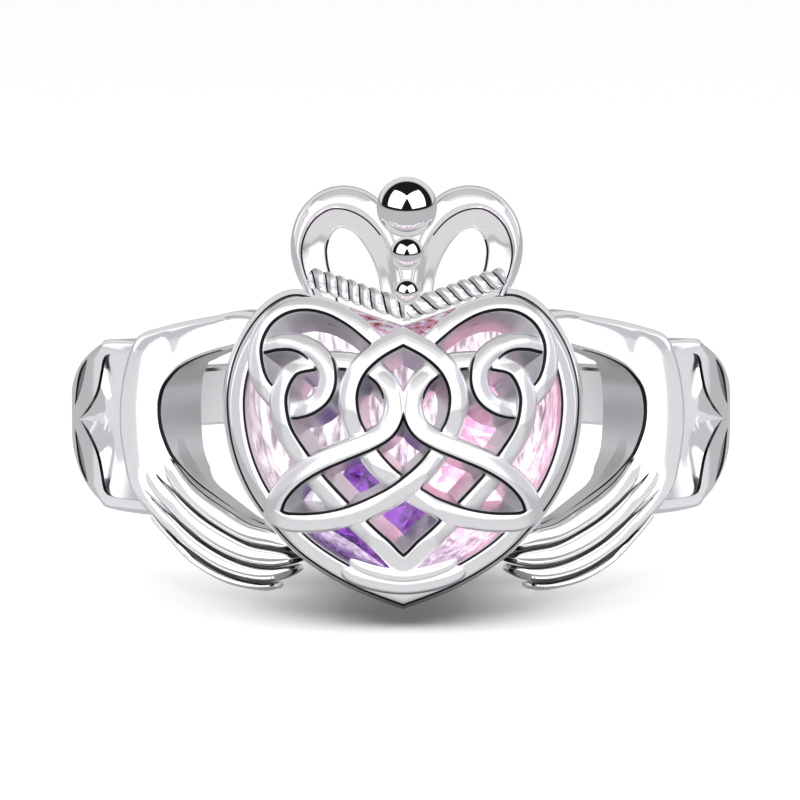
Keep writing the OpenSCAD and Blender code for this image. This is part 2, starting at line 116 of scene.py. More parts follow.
# Where the heart's walls start, inside the finger hole, and where its floor is
HEART_BACK = -(BORE_R - 1.5 * HEART_WALL)
HEART_FLOOR = -(BORE_R + BACK_WALL)


def smooth(rows, steps):
    """Rows of a table with steps - 1 rows added between each two, on a smooth curve."""
    last = len(rows) - 1
    found = []
    for i in range(last):
        a, b, c, d = rows[max(i - 1, 0)], rows[i], rows[i + 1], rows[min(i + 2, last)]
        for k in range(steps):
            t = k / steps
            found.append([
                0.5 * (2 * q + (r - p) * t + (2 * p - 5 * q + 4 * r - s) * t * t
                       + (3 * q - p - 3 * r + s) * t ** 3)
                for p, q, r, s in zip(a, b, c, d)
            ])
    return found + [list(rows[last])]


def mix(a, b, t):
    return a + (b - a) * t


def ramp(value, start, end):
    """0 before start, 1 after end and even in between."""
    return min(1.0, max(0.0, (value - start) / (end - start)))


# Columns of HAND: outer edge and inner edge, each as its angle from the front, a share of the
# cuff's reach, and its height, a share of the hand's height.
HAND = [
    [0.430, 0.995, 0.445, 0.890],
    [0.507, 0.999, 0.512, 0.868],
    [0.592, 0.978, 0.587, 0.843],
    [0.700, 0.956, 0.655, 0.814],
    [0.817, 0.926, 0.719, 0.776],
    [0.920, 0.882, 0.769, 0.721],
    [0.982, 0.733, 0.788, 0.666],
    [1.000, 0.587, 0.790, 0.605],
    [0.985, 0.465, 0.775, 0.542],
    [0.935, 0.313, 0.737, 0.467],
    [0.829, 0.203, 0.682, 0.403],
    [0.685, 0.094, 0.618, 0.350],
    [0.555, 0.027, 0.540, 0.302],
    [0.447, 0.004, 0.454, 0.252],
    [0.369, 0.010, 0.372, 0.231],
    [0.300, 0.060, 0.312, 0.195],
    [0.262, 0.105, 0.272, 0.185],
]
# Columns of FINGERS: share across the hand where the finger begins and ends, row of HAND at
# which it starts and row at its tip, in millimetres how wide the rim round its tip is, which is
# painted dark as shade, and how far its start lies below the hand's surface.
FINGERS = [
    [0.02, 0.15, 9.8, 14.0, 0.02, 0.26],
    [0.15, 0.38, 9.2, 15.0, 0.09, 0.07],
    [0.38, 0.68, 8.6, 15.5, 0.24, 0.02],
    [0.68, 0.99, 8.0, 15.0, 0.12, 0.09],
]
# Row of HAND at the hand's lowest place
REST_ROW = HAND[13]
# Share of the cuff's reach from which the hand rises towards the front
RISE_FROM = 0.75


def hand_r(angle):
    return CUFF_R + TIP_RISE * max(0.0, 1 - angle / (CUFF_REACH * RISE_FROM))


def on_ring(angle, z, r):
    """A point on the left of the ring, by its angle from the front, height and radius."""
    a = math.radians(angle)
    return Vector((-r * math.sin(a), -r * math.cos(a), z))


# The ring rests on the lowest edge of both hands and on the back of the band.
rest_angle = CUFF_REACH * REST_ROW[0]
rest_front_y = -(hand_r(rest_angle) - FINGER_T) * math.cos(math.radians(rest_angle))
rest_front_z = HAND_H * REST_ROW[1] - FINGER_DROP
REST_TILT = math.atan((-rest_front_z - BAND_W / 2) / (BAND_R - rest_front_y))
REST_LIFT = BAND_R * math.sin(REST_TILT) + BAND_W / 2 * math.cos(REST_TILT)
REST_BACK = (DOME_R - DOME_CENTER.y * math.cos(REST_TILT) - DOME_CENTER.z * math.sin(REST_TILT)
             - BAND_R * math.cos(REST_TILT) - BAND_W / 2 * math.sin(REST_TILT)) / 2
AT_REST = (Matrix.Scale(MM, 4) @ Matrix.Translation((0, REST_BACK, REST_LIFT))
           @ Matrix.Rotation(-REST_TILT, 4, "X"))


# Modelling helpers.

def deselect():
    if bpy.context.object and bpy.context.object.mode != "OBJECT":
        bpy.ops.object.mode_set(mode="OBJECT")
    bpy.ops.object.select_all(action="DESELECT")


def pick(*pieces):
    deselect()
    for piece in pieces:
        piece.select_set(True)
    bpy.context.view_layer.objects.active = pieces[0]


def named(name):
    piece = bpy.context.object
    piece.name = name
    piece.data.name = name
    return piece


def place_selected(piece, points):
    """Moves the selected points of the piece in edit mode, in their order, to the given places."""
    shape = bmesh.from_edit_mesh(piece.data)
    chosen = [v for v in shape.verts if v.select]
    for vertex, point in zip(chosen, points):
        vertex.co = point


def swept(name, stations, finish=None):
    """A bar whose section runs through the stations, each a list of points. Its side k between
    stations j and j + 1 gets the material at place finish(j, k) of FINISHES."""
    deselect()
    count = len(stations[0])
    bpy.ops.mesh.primitive_circle_add(vertices=count, fill_type="NGON")
    piece = named(name)
    for material in FINISHES:
        piece.data.materials.append(material)
    bpy.ops.object.mode_set(mode="EDIT")
    bpy.ops.mesh.select_all(action="SELECT")
    place_selected(piece, stations[0])
    for station in stations[1:]:
        bpy.ops.mesh.extrude_region()
        place_selected(piece, station)
    bpy.ops.object.mode_set(mode="OBJECT")
    for face in piece.data.polygons:
        rows = {v // count for v in face.vertices}
        if finish and len(rows) == 2:
            places = sorted({v % count for v in face.vertices})
            side = places[1] if places == [0, count - 1] else places[0]
            face.material_index = finish(min(rows), side)
    recalculate(piece)
    return piece


def recalculate(piece):
    pick(piece)
    bpy.ops.object.mode_set(mode="EDIT")
    bpy.ops.mesh.select_all(action="SELECT")
    bpy.ops.mesh.normals_make_consistent(inside=False)
    bpy.ops.object.mode_set(mode="OBJECT")


def apply(piece, kind, **settings):
    pick(piece)
    modifier = piece.modifiers.new(kind.title(), kind)
    for key, value in settings.items():
        setattr(modifier, key, value)
    bpy.ops.object.modifier_apply(modifier=modifier.name)


def cut(piece, cutter):
    apply(piece, "BOOLEAN", object=cutter, operation="DIFFERENCE", solver="EXACT")
    bpy.data.objects.remove(cutter)


def joined(name, pieces):
    pick(*pieces)
    bpy.ops.object.join()
    return named(name)


def finished(piece, node, materials, angle=40):
    """Lays a finished piece down at rest, gives it its materials and puts it in its node's place."""
    piece.data.transform(AT_REST)
    slots = piece.data.materials
    while len(slots) < len(materials):
        slots.append(None)
    while len(slots) > len(materials):
        slots.pop(index=len(slots) - 1)
    for i, material in enumerate(materials):
        slots[i] = material
    pick(piece)
    bpy.ops.object.shade_smooth_by_angle(angle=math.radians(angle))
    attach(piece, "root")
    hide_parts(node)
    return piece


# Materials.

def new_material(name):
    material = bpy.data.materials.new(name)
    material.use_nodes = True
    return material, material.node_tree.nodes, material.node_tree.links


def object_noise(nodes, links, scale, detail=3.0, stretch=(1, 1, 1)):
    place = nodes.new("ShaderNodeTexCoord")
    mapping = nodes.new("ShaderNodeMapping")
    mapping.inputs["Scale"].default_value = stretch
    links.new(place.outputs["Object"], mapping.inputs["Vector"])
    noise = nodes.new("ShaderNodeTexNoise")
    noise.inputs["Scale"].default_value = scale
    noise.inputs["Detail"].default_value = detail
    links.new(mapping.outputs["Vector"], noise.inputs["Vector"])
    return noise.outputs["Fac"]


def spread(nodes, links, value, low, high):
    """Maps a 0 to 1 value to low to high."""
    range_node = nodes.new("ShaderNodeMapRange")
    range_node.inputs["To Min"].default_value = low
    range_node.inputs["To Max"].default_value = high
    links.new(value, range_node.inputs["Value"])
    return range_node.outputs["Result"]


# How the cast streaks are stretched
STREAKS = (2.6, 1, 0.5)


def silver_material(name, color, roughness, uneven, bump_scale, bump_depth, stretch=(1, 1, 1)):
    """Silver of a roughness that varies by uneven, with fine bumps of a scale and depth."""
    material, nodes, links = new_material(name)
    shader = nodes["Principled BSDF"]
    shader.inputs["Metallic"].default_value = 1.0
    shader.inputs["Base Color"].default_value = (*color, 1)
    blotches = object_noise(nodes, links, 900)
    links.new(spread(nodes, links, blotches, roughness - uneven, roughness + uneven),
              shader.inputs["Roughness"])
    bump = nodes.new("ShaderNodeBump")
    bump.inputs["Distance"].default_value = bump_depth
    bump.inputs["Strength"].default_value = 1.0
    links.new(object_noise(nodes, links, bump_scale, 4.0, stretch), bump.inputs["Height"])
    links.new(bump.outputs["Normal"], shader.inputs["Normal"])
    return material


def rough_cast_material():
    """The inside of the cage as cast: streaked, uneven and less bright."""
    material = silver_material("rough_cast_silver", (0.9, 0.9, 0.9), 0.24, 0.06, 2100, 6e-5, STREAKS)
    nodes, links = material.node_tree.nodes, material.node_tree.links
    tone = nodes.new("ShaderNodeValToRGB")
    tone.color_ramp.elements[0].position = 0.36
    tone.color_ramp.elements[0].color = (0.30, 0.25, 0.28, 1)
    tone.color_ramp.elements[1].position = 0.60
    tone.color_ramp.elements[1].color = (0.97, 0.95, 0.97, 1)
    links.new(object_noise(nodes, links, 2400, 4.0, STREAKS), tone.inputs["Fac"])
    links.new(tone.outputs["Color"], nodes["Principled BSDF"].inputs["Base Color"])
    return material


def glitter_material():
    """The rough rim under the rope, its sparkle painted: pink, brown and white specks as glints."""
    material = silver_material("painted_sparkle_silver", (0.9, 0.8, 0.85), 0.2, 0.05, 3000, 8e-5)
    nodes, links = material.node_tree.nodes, material.node_tree.links
    tone = nodes.new("ShaderNodeValToRGB")
    tone.color_ramp.interpolation = "CONSTANT"
    tone.color_ramp.elements[0].color = (0.36, 0.12, 0.10, 1)
    tone.color_ramp.elements[1].position = 0.55
    tone.color_ramp.elements[1].color = (1.0, 0.96, 1.0, 1)
    for position, color in ((0.40, (0.85, 0.42, 0.55, 1)), (0.50, (0.55, 0.40, 0.70, 1))):
        tone.color_ramp.elements.new(position).color = color
    links.new(object_noise(nodes, links, 5200, 2.0, (0.6, 1, 1.6)), tone.inputs["Fac"])
    links.new(tone.outputs["Color"], nodes["Principled BSDF"].inputs["Base Color"])
    return material


POLISHED = silver_material("polished_silver", (0.95, 0.945, 0.955), 0.10, 0.02, 6000, 2e-7)
SATIN = silver_material("satin_silver", (0.96, 0.955, 0.97), 0.20, 0.03, 5000, 4e-7)
MIRROR = silver_material("mirror_silver", (0.96, 0.955, 0.96), 0.03, 0.005, 6000, 5e-8)
CAST = rough_cast_material()
# Painted shade: near black, for thin dark lines along crisp edges, creases, grooves and valleys
DARK = silver_material("painted_shade_dark_silver", (0.02, 0.02, 0.022), 0.25, 0.05, 6000, 5e-7)
# Painted shade: grey, for the walls and hollows beside those lines and for the band's inside
RECESS = silver_material("painted_shade_grey_silver", (0.55, 0.55, 0.56), 0.36, 0.05, 4000, 5e-7)
GLITTER = glitter_material()

# The finishes that a bar's sides can have, two of them painted shade, and their places in the list
FINISHES = [POLISHED, DARK, RECESS, CAST, GLITTER]
POLISHED_AT, DARK_AT, RECESS_AT, CAST_AT, GLITTER_AT = range(5)


def stone_material(name, color, glow):
    """A clear stone of a colour, whose reflections are tinted with its glow."""
    material, nodes, links = new_material(name)
    shader = nodes["Principled BSDF"]
    shader.inputs["Base Color"].default_value = (*color, 1)
    shader.inputs["Roughness"].default_value = 0.0
    shader.inputs["IOR"].default_value = 1.75
    shader.inputs["Transmission Weight"].default_value = 0.85
    shader.inputs["Specular Tint"].default_value = (*glow, 1)
    return material


PURPLE = stone_material("purple_zirconia", (0.036, 0.002, 0.11), (0.7, 0.6, 1.0))
PINK = stone_material("pink_zirconia", (0.96, 0.46, 0.66), (1.0, 0.85, 0.9))


# The heart.

# Half its outline from the tip up to the cleft. Columns: across as a share of half its width, up
# as a share of its height.
HEART_SIDE = [
    [0, 0], [0.30, 0.069], [0.56, 0.160], [0.74, 0.262], [0.88, 0.375], [0.97, 0.510],
    [1.00, 0.660], [0.955, 0.795], [0.85, 0.905], [0.72, 0.975], [0.58, 1.000], [0.40, 0.972],
    [0.22, 0.935], [0, 0.895],
]
heart_half = [(p[0] * HEART_W / 2, p[1] * HEART_H - HEART_DROP) for p in smooth(HEART_SIDE, 8)]
heart_full = heart_half[:-1] + [(-x, z) for x, z in reversed(heart_half[1:])]


def heart_outline(inset):
    """The heart's outline moved inwards by inset, with a sharp tip."""
    (x0, z0), (x1, z1) = heart_full[0], heart_full[1]
    slope = (z1 - z0) / (x1 - x0)
    tip = z0 + inset * math.hypot(1, slope)
    count = len(heart_full)
    found = []
    for i, (x, z) in enumerate(heart_full):
        before, after = heart_full[i - 1], heart_full[(i + 1) % count]
        d = Vector((after[0] - before[0], after[1] - before[1])).normalized()
        side = 1 if i <= count // 2 else -1
        least = POINT_W * min(i, count - i)
        across_by = side * (x - inset * d.y)
        if inset > 0 and i != count // 2 and across_by <= least and z < 0:
            found.append((side * least, tip + slope * least))
        else:
            found.append((x - inset * d.y, z + inset * d.x))
    return found


def dome_y(x, z, r):
    return DOME_CENTER.y - math.sqrt(max(0.0, r * r - x * x - (z - DOME_CENTER.z) ** 2))


def ring_on_dome(inset, r):
    return [Vector((x, dome_y(x, z, r), z)) for x, z in heart_outline(inset)]


def ring_on_plane(inset, y):
    return [Vector((x, y, z)) for x, z in heart_outline(inset)]


def round_cutter(name, radius):
    deselect()
    bpy.ops.mesh.primitive_cylinder_add(vertices=CUTTER_SIDES, radius=radius, depth=CUTTER_L)
    return named(name)


# The cage's wall from its back to its floor. Columns: inset from the outline, depth below the rim.
CAGE_WALL = [
    [0.02, 0.60], [0.00, 0.40], [0.01, 0.28], [0.06, 0.17], [0.115, 0.115], [0.18, 0.055], [0.25, 0.02],
    [0.36, 0.00], [0.50, 0.01], [0.60, 0.03], [0.67, 0.08], [0.70, 0.14], [0.77, 0.38],
]
# What lies at the cage's rows, counted from its back. Rows 5 and 10 are painted shade: dark
# lines along the rim's bevels; rows 11 and 12 are painted grey shade on its inner wall.
CAGE_FINISH = {5: DARK_AT, 10: DARK_AT, 11: RECESS_AT, 12: RECESS_AT, 13: CAST_AT}
# Rows of the wall under the rope that get painted sparkle, and how wide
GLITTER_ROWS = range(3, 13)
GLITTER_W = 3.2


def heart_cage():
    rings = [ring_on_plane(HEART_TAPER, HEART_BACK)]
    rings += [ring_on_dome(inset, RIM_R - depth) for inset, depth in CAGE_WALL]
    rings.append(ring_on_plane(HEART_WALL + HEART_TAPER * 0.5, HEART_FLOOR))
    piece = swept("heart_cage_casting", rings, lambda row, side: CAGE_FINISH.get(row, POLISHED_AT))
    count = len(rings[0])
    for face in piece.data.polygons:
        row = min(v // count for v in face.vertices)
        if row == len(rings) - 1:
            face.material_index = CAST_AT
        if row in GLITTER_ROWS and abs(face.center.x) < GLITTER_W / 2 and face.center.z > 0:
            face.material_index = GLITTER_AT
    cut(piece, round_cutter("finger_hole", BORE_R))
    return finished(piece, "heart_cage", FINISHES)


# The knot. Columns: across as a share of half the heart's width, up as a share of its height,
# weave: 1 where the strand passes over another and -1 where it passes under.
INNER_HEART = [
    [0.000, 0.151, 0], [-0.130, 0.212, 0], [-0.248, 0.268, -0.6], [-0.385, 0.340, -1],
    [-0.512, 0.419, -1], [-0.594, 0.485, -1], [-0.672, 0.570, -0.2], [-0.698, 0.652, 0.6],
    [-0.684, 0.710, 0.6], [-0.636, 0.763, 0], [-0.552, 0.795, -0.8], [-0.440, 0.808, -1],
    [-0.320, 0.806, -1],
]
KNOT_LOOP = [
    [-0.440, 0.808, -1], [-0.320, 0.806, -1], [-0.209, 0.791, -1], [-0.112, 0.750, -0.4],
    [-0.058, 0.696, 0], [-0.054, 0.637, 0], [-0.095, 0.586, 0.4], [-0.182, 0.552, 0.9],
    [-0.325, 0.517, 0.9], [-0.473, 0.479, 0.9], [-0.605, 0.430, 0.7], [-0.695, 0.372, 0.3],
    [-0.735, 0.310, 0],
]
KNOT_ARCH = [
    [-0.735, 0.310, 0.1], [-0.670, 0.285, 0.2], [-0.572, 0.280, 0.4], [-0.435, 0.287, 0.8],
    [-0.286, 0.308, 0.8], [-0.135, 0.345, 0.6], [0.000, 0.392, 0.6], [0.143, 0.463, -0.2],
    [0.253, 0.550, -1], [0.303, 0.627, -0.2], [0.308, 0.700, 0.4], [0.255, 0.770, 0.9],
    [0.145, 0.828, 0.9], [-0.004, 0.873, 0.8],
]
# How the right arch differs, which passes under the left one at the middle.
UNDER_ARCH = {5: -0.5, 6: -1, 7: -0.6}
SCROLL = [
    [-0.080, 0.834, -0.9], [-0.176, 0.880, -0.4], [-0.286, 0.925, 0], [-0.407, 0.958, 0.2],
    [-0.539, 0.970, 0.2], [-0.666, 0.954, 0.2], [-0.768, 0.910, 0.2], [-0.826, 0.845, 0.2],
    [-0.828, 0.778, 0.2], [-0.795, 0.715, -0.2], [-0.726, 0.666, -1], [-0.638, 0.644, -0.6],
]
CURL = [
    [-0.726, 0.666, -1], [-0.638, 0.644, -0.6], [-0.545, 0.650, 0], [-0.462, 0.680, 0.3],
    [-0.425, 0.728, 0.6], [-0.440, 0.782, 0.9], [-0.500, 0.826, 0.9], [-0.589, 0.850, 0.5],
    [-0.690, 0.852, 0], [-0.790, 0.842, -0.3],
]
# Columns: across and up as above, width as a share.
LIP = [[0, 0.088, 1], [-0.160, 0.100, 1], [-0.290, 0.124, 0.85], [-0.335, 0.146, 0.45]]
# A strand's side from its foot to the middle of its front. Columns: across as a share of half
# its width and how deep, in millimetres, where the edge is soft and then where it is crisp.
STRAND_SIDE = [
    [1.00, STRAND_D, 1.40, STRAND_D],
    [1.00, 0.50, 1.02, 0.16],
    [0.97, 0.36, 0.995, 0.09],
    [0.88, 0.22, 0.76, 0.012],
    [0.70, 0.10, 0.55, 0.00],
    [0.42, 0.02, 0.30, 0.00],
]
# What lies at the sides of a strand's section where its edge is crisp: painted shade, a dark
# line on the bevel and grey on the wall below it.
STRAND_FINISH = {0: RECESS_AT, 1: RECESS_AT, 2: DARK_AT, 8: DARK_AT, 9: RECESS_AT, 10: RECESS_AT}
# How squarely an edge faces the middle where it begins to be crisp, and where it is fully so.
CRISP = (-0.15, 0.45)
# Size of a strand's end inside another strand, as a share of its own.
BURIED = 0.8
# How far a strand rises where it passes over another, as a share of how far it dips under one.
OVER = 0.3
# The strand's width as a share of its widest mitred end.
MITRE_LIMIT = 0.5


def weave_rise(weave):
    return WEAVE_DIP * (weave * OVER if weave > 0 else weave)


def knot_point(row):
    x, z = row[0] * HEART_W / 2, row[1] * HEART_H - HEART_DROP
    out = (Vector((x, dome_y(x, z, DOME_R), z)) - DOME_CENTER).normalized()
    return DOME_CENTER + (DOME_R + weave_rise(row[2])) * out


def crispness(points, i, side):
    """How crisp the strand's two edges are at point i: an edge is where it faces the middle."""
    out = (points[i] - DOME_CENTER).normalized()
    inward = DOME_CENTER + Vector((0, -DOME_R, 0)) - points[i]
    inward -= inward.dot(out) * out
    facing = side.normalized().dot(inward.normalized())
    return [ramp(turn * facing, *CRISP) for turn in (-1, 1)]


def strand_side(points, i, mitre=None):
    """The directions across a strand and out of the dome at point i."""
    last = len(points) - 1
    before = (points[max(i, 1)] - points[max(i, 1) - 1]).normalized()
    j = min(i, last - 1)
    along = mitre or (before + (points[j + 1] - points[j]).normalized()).normalized()
    out = (points[i] - DOME_CENTER).normalized()
    return along.cross(out) / max(MITRE_LIMIT, along.dot(before)), out


def strand_station(points, i, width, mitre=None):
    side, out = strand_side(points, i, mitre)
    section = []
    for turn, crisp in zip((-1, 1), crispness(points, i, side)):
        rows = [(turn * mix(a, c, crisp) / 2, mix(b, d, crisp)) for a, b, c, d in STRAND_SIDE]
        section += rows if turn < 0 else rows[::-1]
    return [points[i] + s * width * side - depth * out for s, depth in section]


def buried(station, shift):
    """A section moved by a shift and made smaller, to end inside another strand."""
    middle = sum(station, Vector()) / len(station)
    return [middle + BURIED * (p - middle) + shift for p in station]


def strand(name, rows, w, w_end, mitres=(None, None)):
    """A strand along the rows, its width going from w to w_end. Each end runs into another
    strand, or is cut to a mitre. Its crisp edges are painted dark, as shade."""
    points = [knot_point(row) for row in rows]
    last = len(points) - 1
    stations = []
    crisp = []
    for i in range(last + 1):
        mitre = mitres[0] if i == 0 else mitres[1] if i == last else None
        stations.append(strand_station(points, i, mix(w, w_end, i / last), mitre))
        crisp.append(crispness(points, i, strand_side(points, i, mitre)[0]))
    ahead = RUN_IN * (points[last] - points[last - 1]).normalized()
    back = RUN_IN * (points[0] - points[1]).normalized()
    stations = [buried(stations[0], back)] + stations + [buried(stations[-1], ahead)]

    def finish(row, side):
        i = min(max(row - 1, 0), last)
        if crisp[i][0 if side < len(STRAND_SIDE) else 1] > 0.5:
            return STRAND_FINISH.get(side, POLISHED_AT)
        return POLISHED_AT

    return swept(name, stations, finish)


def with_mirror_image(rows):
    return [[-r[0], r[1], r[2]] for r in rows[:0:-1]] + rows


# Widths of the scroll at its two ends and of the curl at its start, as shares of a strand's.
THIN, LESS_THIN, NEARLY_FULL = 0.8, 0.95, 0.96
# The lip's two bars across the heart's foot. Columns: name, how much higher the bar is than the
# lip's middle, its half width and how far it stands out, all in millimetres, and its length as
# a share of the lip's.
LIP_BARS = [["lip_outer", -0.10, 0.34, 0.02, 1.0], ["lip_inner", 0.22, 0.20, 0.07, 0.88]]
# How a bar grows from its ends, as shares of its thickness, its weave, and its section's sides.
LIP_ENDS = (0.5, 0.8, 0.93, 1)
LIP_WEAVE = -0.2
LIP_SIDES = 20


def lip_bar(name, rise, half, forward, length):
    rows = smooth(with_mirror_image(LIP), 6)
    last = len(rows) - 1
    points = [knot_point([row[0] * length, row[1] + rise / HEART_H, LIP_WEAVE]) for row in rows]
    angles = [2 * math.pi * k / LIP_SIDES for k in range(LIP_SIDES)]
    stations = []
    for i, p in enumerate(points):
        along = (points[min(i + 1, last)] - points[max(i - 1, 0)]).normalized()
        out = (p - DOME_CENTER).normalized()
        side = along.cross(out)
        r = half * rows[i][2] * LIP_ENDS[min(i, last - i, 3)]
        center = p + (forward - r) * out
        stations.append([center + r * (math.cos(a) * side + math.sin(a) * out) for a in angles])
    return swept(name, stations)


def mirror_copy(piece, name):
    """A copy of the piece with its own mesh, mirrored from the left to the right."""
    pick(piece)
    bpy.ops.object.duplicate()
    other = named(name)
    bpy.ops.transform.resize(value=(-1, 1, 1), center_override=(0, 0, 0))
    bpy.ops.object.transform_apply(location=True, scale=True)
    recalculate(other)
    return other


def knot_lattice():
    steps = 6
    down = knot_point(KNOT_LOOP[-1]) - knot_point(KNOT_LOOP[-2])
    across = knot_point(KNOT_ARCH[1]) - knot_point(KNOT_ARCH[0])
    corner = (down.normalized() + across.normalized()).normalized()
    top = Vector((-1, 0, 0))
    under = [[r[0], r[1], UNDER_ARCH.get(i, r[2])] for i, r in enumerate(KNOT_ARCH)]
    w = STRAND_W
    heart = strand("strand_heart", smooth(with_mirror_image(INNER_HEART), steps), w, w)
    left_arch = strand("strand_arch_left", smooth(KNOT_ARCH, steps), w, w, (corner, top))
    right_arch = strand("strand_arch_right", smooth(under, steps), w, w, (corner, top))
    flipped = mirror_copy(right_arch, "strand_arch_flipped")
    bpy.data.objects.remove(right_arch)
    parts = [heart, left_arch, flipped]
    for label, part in (
        ("loop", strand("strand_loop_left", smooth(KNOT_LOOP, steps), w, w, (None, corner))),
        ("scroll", strand("strand_scroll_left", smooth(SCROLL, steps), w * THIN, w * LESS_THIN)),
        ("curl", strand("strand_curl_left", smooth(CURL, steps), w * NEARLY_FULL, w)),
    ):
        parts += [part, mirror_copy(part, f"strand_{label}_right")]
    parts += [lip_bar(*row) for row in LIP_BARS]
    return finished(joined("knot_lattice_strands", parts), "knot_lattice",
                    [SATIN, DARK, RECESS])


# The crown. Columns: across as a share of half the crown's width, up as a share of its height,
# strap width, where its line lies, from -0.5 at the strap's inner side to 0.5 at its outer side.
LOOP = [
    [0.70, 0.08, 0.70, 0.24], [0.755, 0.22, 0.80, 0.24], [0.83, 0.37, 0.92, 0.23],
    [0.855, 0.52, 1.00, 0.18], [0.80, 0.67, 1.05, 0.09], [0.67, 0.77, 1.08, 0.00],
    [0.52, 0.79, 1.12, -0.08], [0.38, 0.75, 1.12, -0.10], [0.27, 0.66, 1.05, -0.05],
    [0.18, 0.52, 0.92, 0.05], [0.12, 0.34, 0.76, 0.2], [0.09, 0.10, 0.70, 0.3],
]
CLEFT_Z = HEART_SIDE[-1][1] * HEART_H - HEART_DROP
# A strap's outline. Columns: place, 1 at its outer side, 0 at its line and -1 at its inner side,
# and depth as a share of the strap's.
STRAP = [
    [1.0, -0.95], [1.0, -0.42], [0.97, -0.32], [0.90, -0.22], [0.78, -0.13], [0.62, -0.06],
    [0.42, -0.015], [0.24, -0.005], [0.10, -0.03], [0.02, -0.07], [-0.06, -0.085], [-0.30, -0.165],
    [-0.60, -0.225], [-0.85, -0.255], [-0.92, -0.27], [-1.0, -0.34], [-1.0, -0.75], [-0.8, -0.95],
    [-0.4, -1.0], [0.6, -1.0],
]
# Sides of the outline that are painted dark as shade, and the rows of LOOP up to which they are.
STRAP_LINE = 9
STRAP_LINE_END = 8.5
STRAP_INNER_EDGE = 14
STRAP_INNER_END = 3.5
# How much wider a strap is on its inner side, as a share of its width.
STRAP_MORE = 0.10


def crown_loop():
    """A loop, with a dark line painted as shade as far as the stem and a painted dark inner edge
    on its outer leg.
    """
    steps = 6
    rows = smooth(LOOP, steps)
    points = [Vector((-r[0] * CROWN_W / 2, CROWN_Y - STRAP_D / 2, CLEFT_Z + r[1] * CROWN_H))
              for r in rows]
    last = len(points) - 1
    out = Vector((0, -1, 0))
    stations = []
    for i, point in enumerate(points):
        along = (points[min(i + 1, last)] - points[max(i - 1, 0)]).normalized()
        side = out.cross(along)
        _, _, width, line = rows[i]
        station = []
        for place, depth in STRAP:
            share = line + place * (0.5 - line if place > 0 else 0.5 + STRAP_MORE + line)
            station.append(point + share * width * side + depth * STRAP_D * out)
        stations.append(station)

    def finish(row, side):
        line = side == STRAP_LINE and row < STRAP_LINE_END * steps
        inner_edge = side == STRAP_INNER_EDGE and row < STRAP_INNER_END * steps
        return DARK_AT if line or inner_edge else POLISHED_AT

    return swept("loop_left", stations, finish)


# The rope's outline seen along it. Columns: share of the half turn from valley to valley, radius
# as a share of the rope's.
ROPE_LOBE = [
    [0.00, 0.78], [0.07, 0.82], [0.14, 0.88], [0.23, 0.94], [0.33, 0.98], [0.46, 1.00],
    [0.60, 0.98], [0.73, 0.93], [0.84, 0.86], [0.92, 0.81],
]
# What lies at a lobe's sides: painted shade, a dark valley with painted grey on one side of it.
# The rest is satin, which has the fourth place in the crown.
SATIN_AT = 3
ROPE_FINISH = {0: DARK_AT, 6: RECESS_AT, 7: RECESS_AT, 8: RECESS_AT, 9: DARK_AT}
# How far along the cleft the rope reaches, as a share of half the heart's width.
ROPE_REACH = 0.57
ROPE_STEPS_PER_LOBE = 12
# How the rope grows from its ends, as shares of its radius.
ROPE_ENDS = (0.7, 0.88, 0.96, 1)


def rope():
    """Two wires twisted tightly round each other along the heart's cleft."""
    line = [Vector((x, CROWN_Y - ROPE_R, z)) for x, z in heart_outline(-(ROPE_R + SEAM))
            if z > 0 and abs(x) < HEART_W / 2 * ROPE_REACH]
    steps = ROPE_LOBES * ROPE_STEPS_PER_LOBE
    out = Vector((0, -1, 0))
    lobes = ROPE_LOBE + [[1 + share, r] for share, r in ROPE_LOBE]
    stations = []
    for j in range(steps + 1):
        t = j / steps * (len(line) - 1)
        i = min(int(t), len(line) - 2)
        p = line[i].lerp(line[i + 1], t - i)
        side = (line[min(i + 2, len(line) - 1)] - line[max(i - 1, 0)]).normalized().cross(out)
        small = ROPE_ENDS[min(j, steps - j, 3)]
        twist = -math.pi * ROPE_LOBES * j / steps
        stations.append([
            p + ROPE_R * small * r * (math.cos(math.pi * share + twist) * side
                                      + math.sin(math.pi * share + twist) * out)
            for share, r in lobes])
    return swept("rope", stations,
                 lambda row, side: ROPE_FINISH.get(side % len(ROPE_LOBE), SATIN_AT))


# Columns: radius in millimetres, height as a share of the crown's, and how far the middle is in
# front of the crown's back, as a share of the straps' depth.
BEADS = [
    [0.90, 1 - 0.95 / CROWN_H, 0.42],
    [0.50, 0.475, 0.56],
    [0.385, 0.215, 0.58],
]


def bead(name, radius, height, forward):
    deselect()
    bpy.ops.mesh.primitive_uv_sphere_add(
        segments=64, ring_count=32, radius=radius,
        location=(CROWN_ASIDE, CROWN_Y - forward * STRAP_D, CLEFT_Z + height * CROWN_H))
    bpy.ops.object.transform_apply(location=True)
    return named(name)


# The plate between the loops. Columns: height as a share of the crown's, half its width.
STEM = [[0.66, 0.62], [0.5, 0.52], [0.35, 0.45], [0.2, 0.40], [0.08, 0.36]]
# Its section. Columns: across as a share of half its width, forward as a share of its depth.
STEM_SECTION = [
    [-1, -0.75], [-1, -0.12], [-0.85, -0.02], [-0.5, 0.03], [0, 0.05], [0.5, 0.03], [0.85, -0.02],
    [1, -0.12], [1, -0.75],
]
STEM_D = STRAP_D * 0.75
STEM_Y = CROWN_Y - STRAP_D * 0.4 - 0.02


def stem():
    stations = []
    for up, half in smooth(STEM, 4):
        z = CLEFT_Z + up * CROWN_H
        stations.append([Vector((x * half, STEM_Y - y * STEM_D, z)) for x, y in STEM_SECTION])
    return swept("stem", stations)


